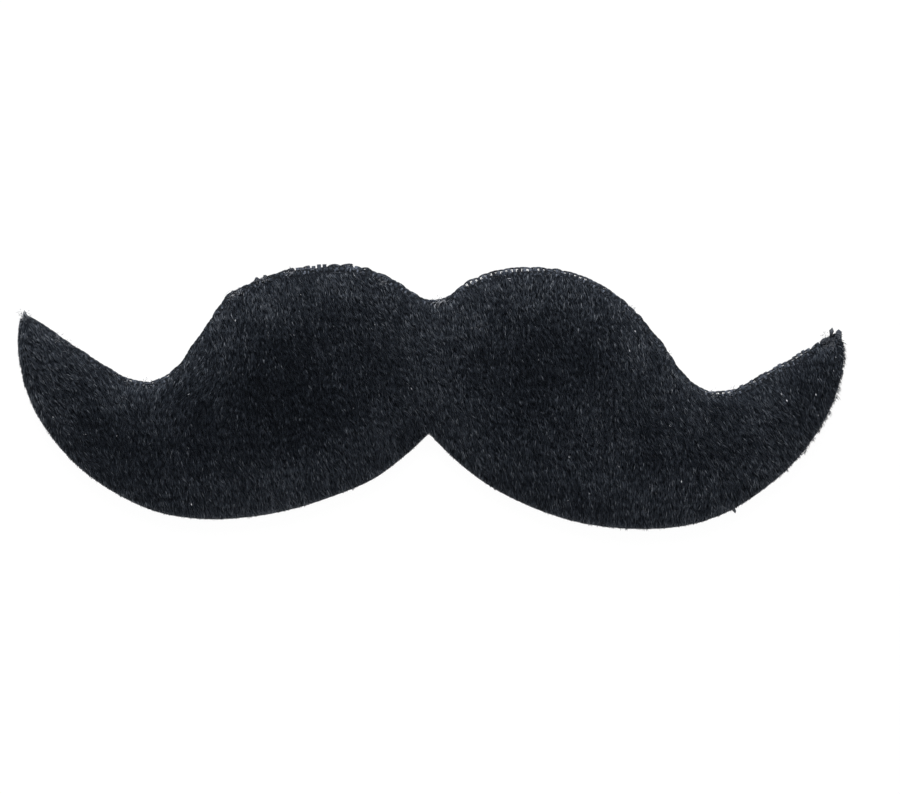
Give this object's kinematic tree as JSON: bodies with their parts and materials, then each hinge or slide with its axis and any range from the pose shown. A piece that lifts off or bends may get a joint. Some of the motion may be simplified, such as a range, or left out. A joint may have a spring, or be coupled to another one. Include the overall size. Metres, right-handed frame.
{
  "type": "fake moustache",
  "caption": "Padded black plush moustache with two rounded lobes, upturned pointed ends, a knit backing and a plain adhesive strip behind it.",
  "frame": {"origin": "middle of the underside's bounding box, on the surface that the moustache lies on", "axes": "+X to the right tip as seen from the front, +Y to the nose, +Z out of the plush front, which faces up"},
  "size_m": [0.14, 0.045, 0.0073],
  "materials": {
    "black_plush": "short plush pile, matt with a faint sheen",
    "dark_knit": "fine knit ground cloth",
    "tape_liner": "smooth pale release liner"
  },
  "bodies": {
    "root": {"plush_front": "black_plush", "knit_backing": "dark_knit", "adhesive_strip": "tape_liner"}
  },
  "joints": []
}
